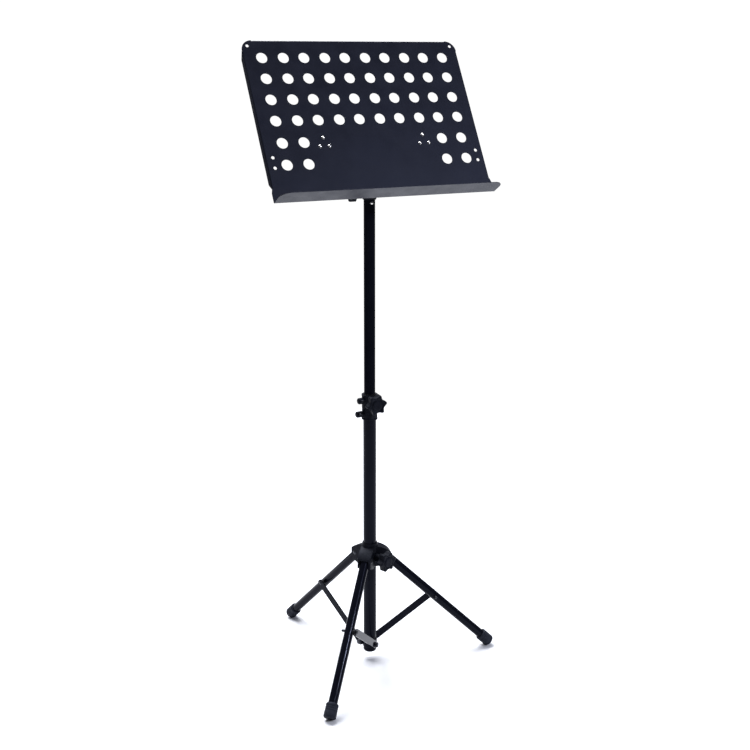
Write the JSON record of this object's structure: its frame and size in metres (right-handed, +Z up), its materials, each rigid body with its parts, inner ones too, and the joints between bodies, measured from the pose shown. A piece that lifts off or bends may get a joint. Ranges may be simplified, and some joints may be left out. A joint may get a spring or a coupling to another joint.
{
  "type": "music stand",
  "caption": "Orchestral music stand: tilting perforated sheet-metal desk with a shelf on a telescoping column, sliding leg hub, folding braced legs with rubber feet and knob clamps.",
  "frame": {"origin": "on the floor under the column's axis", "axes": "+Z up along the column; the desk's front faces -Y, its shelf along X"},
  "size_m": [0.5306, 0.5016, 1.3587],
  "materials": {
    "black_tube": "satin powder coat",
    "desk_sheet": "satin powder coat",
    "black_plastic": "matt moulded",
    "black_rubber": "matt",
    "nickel_rivet": "polished nickel",
    "black_fastener": "black oxide",
    "zinc_steel": "zinc plated",
    "brass_insert": "machined",
    "black_nylon": "smooth",
    "white_nylon": "smooth"
  },
  "bodies": {
    "column": {"lower_tube": "black_tube", "lower_tube_plug": "black_plastic", "bottom_bracket": "black_tube", "brace_lower_rivets": "black_fastener", "clutch_body": "black_plastic", "clutch_screws": "black_fastener", "clutch_liner": "black_nylon", "clutch_insert": "brass_insert"},
    "clutch_presser": {"clutch_pad": "white_nylon"},
    "clutch_grip": {"clutch_knob": "black_plastic", "clutch_stud": "zinc_steel"},
    "hub": {"leg_hub": "black_plastic", "leg_pivot_rivets": "black_fastener", "hub_bush": "black_nylon", "hub_insert": "brass_insert"},
    "hub_presser": {"hub_pad": "white_nylon"},
    "hub_grip": {"hub_knob": "black_plastic", "hub_stud": "zinc_steel"},
    "mast": {"upper_tube": "black_tube", "guide_bush": "black_nylon", "upper_tube_plug": "black_plastic", "head_socket": "black_plastic", "head_rivet": "nickel_rivet", "head_insert": "brass_insert"},
    "head_presser": {"head_pad": "white_nylon"},
    "head_grip": {"head_knob": "black_plastic", "head_stud": "zinc_steel"},
    "stem": {"desk_stem": "black_tube", "cross_tube": "black_tube", "cross_tube_plugs": "black_plastic", "tilt_bolts": "black_fastener", "friction_washers": "black_nylon"},
    "desk": {"desk_plate": "desk_sheet", "pivot_bracket_left": "black_tube", "pivot_bracket_right": "black_tube", "desk_rivets": "nickel_rivet"},
    "leg_1": {"leg_tube_1": "black_tube", "leg_top_plug_1": "black_plastic", "rubber_foot_1": "black_rubber", "leg_rivet_1": "black_fastener", "brace_spacer_1": "black_nylon"},
    "strut_1": {"brace_1": "black_tube", "brace_upper_rivet_1": "black_fastener"},
    "leg_2": {"leg_tube_2": "black_tube", "leg_top_plug_2": "black_plastic", "rubber_foot_2": "black_rubber", "leg_rivet_2": "black_fastener", "brace_spacer_2": "black_nylon"},
    "strut_2": {"brace_2": "black_tube", "brace_upper_rivet_2": "black_fastener"},
    "leg_3": {"leg_tube_3": "black_tube", "leg_top_plug_3": "black_plastic", "rubber_foot_3": "black_rubber", "leg_rivet_3": "black_fastener", "brace_spacer_3": "black_nylon"},
    "strut_3": {"brace_3": "black_tube", "brace_upper_rivet_3": "black_fastener"}
  },
  "joints": [
    {"name": "hub_slide", "type": "slide", "parent": "column", "child": "hub", "axis": [0, 0, 1], "range_m": [0, 0.1187]},
    {"name": "mast_slide", "type": "slide", "parent": "column", "child": "mast", "axis": [0, 0, 1], "range_m": [-0.38, 0.04]},
    {"name": "desk_swivel", "type": "hinge", "parent": "mast", "child": "stem", "pos_m": [0, 0, 1.0625], "axis": [0, 0, 1], "continuous": true},
    {"name": "desk_tilt", "type": "hinge", "parent": "stem", "child": "desk", "pos_m": [0, 0, 1.1425], "axis": [-1, 0, 0], "range_deg": [-30.5, 59.4]},
    {"name": "leg_1_hinge", "type": "hinge", "parent": "hub", "child": "leg_1", "pos_m": [-0.02293, -0.02511, 0.2525], "axis": [0.7385, -0.6743, 0], "range_deg": [0, 46]},
    {"name": "strut_1_hinge", "type": "hinge", "parent": "column", "child": "strut_1", "pos_m": [-0.00944, -0.01034, 0.0415], "axis": [-0.7385, 0.6743, 0], "range_deg": [0, 48]},
    {"name": "leg_2_hinge", "type": "hinge", "parent": "hub", "child": "leg_2", "pos_m": [0.03321, -0.0073, 0.2525], "axis": [0.2147, 0.9767, 0], "range_deg": [0, 46]},
    {"name": "strut_2_hinge", "type": "hinge", "parent": "column", "child": "strut_2", "pos_m": [0.01367, -0.00301, 0.0415], "axis": [-0.2147, -0.9767, 0], "range_deg": [0, 48]},
    {"name": "leg_3_hinge", "type": "hinge", "parent": "hub", "child": "leg_3", "pos_m": [-0.01028, 0.03241, 0.2525], "axis": [-0.9532, -0.3024, 0], "range_deg": [0, 46]},
    {"name": "strut_3_hinge", "type": "hinge", "parent": "column", "child": "strut_3", "pos_m": [-0.00423, 0.01334, 0.0415], "axis": [0.9532, 0.3024, 0], "range_deg": [0, 48]},
    {"name": "clutch_press", "type": "slide", "parent": "column", "child": "clutch_presser", "axis": [-0.0698, -0.9976, 0], "range_m": [0, 0.0025]},
    {"name": "clutch_knob_turn", "type": "hinge", "parent": "clutch_presser", "child": "clutch_grip", "pos_m": [-0.00293, -0.0419, 0.6125], "axis": [-0.0698, -0.9976, 0], "range_deg": [0, 900]},
    {"name": "hub_press", "type": "slide", "parent": "hub", "child": "hub_presser", "axis": [0.3123, -0.95, 0], "range_m": [0, 0.0025]},
    {"name": "hub_knob_turn", "type": "hinge", "parent": "hub_presser", "child": "hub_grip", "pos_m": [0.01384, -0.04208, 0.2535], "axis": [0.3123, -0.95, 0], "range_deg": [0, 900]},
    {"name": "head_press", "type": "slide", "parent": "mast", "child": "head_presser", "axis": [-1, 0, 0], "range_m": [0, 0.0025]},
    {"name": "head_knob_turn", "type": "hinge", "parent": "head_presser", "child": "head_grip", "pos_m": [-0.038, 0, 1.0625], "axis": [-1, 0, 0], "range_deg": [0, 900]}
  ],
  "couplings": [
    {"joint": "leg_1_hinge", "follows": "hub_slide", "rad_per_m": 6.727},
    {"joint": "strut_1_hinge", "follows": "hub_slide", "rad_per_m": 7.019},
    {"joint": "leg_2_hinge", "follows": "hub_slide", "rad_per_m": 6.727},
    {"joint": "strut_2_hinge", "follows": "hub_slide", "rad_per_m": 7.019},
    {"joint": "leg_3_hinge", "follows": "hub_slide", "rad_per_m": 6.727},
    {"joint": "strut_3_hinge", "follows": "hub_slide", "rad_per_m": 7.019},
    {"joint": "clutch_press", "follows": "clutch_knob_turn", "m_per_rad": 0.00015915},
    {"joint": "hub_press", "follows": "hub_knob_turn", "m_per_rad": 0.00015915},
    {"joint": "head_press", "follows": "head_knob_turn", "m_per_rad": 0.00015915}
  ]
}
